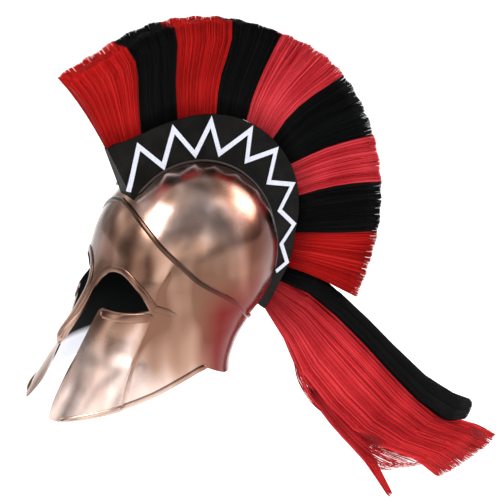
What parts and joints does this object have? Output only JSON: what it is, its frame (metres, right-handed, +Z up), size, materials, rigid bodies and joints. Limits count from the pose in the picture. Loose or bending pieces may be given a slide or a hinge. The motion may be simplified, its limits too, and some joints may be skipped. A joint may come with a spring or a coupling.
{
  "type": "corinthian helmet with hair crest",
  "caption": "Raised metal corinthian helmet with nasal, eye openings and cheek pieces, a black crest holder with a zigzag band and a striped hair crest that falls behind as a tail.",
  "frame": {"origin": "the seat: inside of the crown over the centre of the head", "axes": "+Z up, the face looks to -Y, the wearer's left is +X"},
  "size_m": [0.1974, 0.6518, 0.6763],
  "materials": {
    "copper_finish": "copper-finished sheet steel, hammered and polished",
    "holder_black": "black satin",
    "bolt_steel": "plain",
    "zigzag_paint": "pale matt band",
    "hair_red": "dyed hair, soft sheen",
    "hair_black": "dyed hair, soft sheen"
  },
  "bodies": {
    "root": {"helmet_shell": "copper_finish", "crest_holder": "holder_black", "crest_bolt_front": "bolt_steel", "crest_bolt_rear": "bolt_steel", "zigzag_left": "zigzag_paint", "zigzag_right": "zigzag_paint", "plume_lock_1_red": "hair_red", "plume_lock_2_black": "hair_black", "plume_lock_3_red": "hair_red", "plume_lock_4_black": "hair_black", "plume_lock_5_red": "hair_red", "plume_lock_6_black": "hair_black", "plume_lock_7_red": "hair_red", "plume_lock_8_black": "hair_black", "plume_lock_9_red": "hair_red", "plume_tail_black": "hair_black", "plume_tail_red": "hair_red", "plume_wisp_red": "hair_red"}
  },
  "joints": []
}
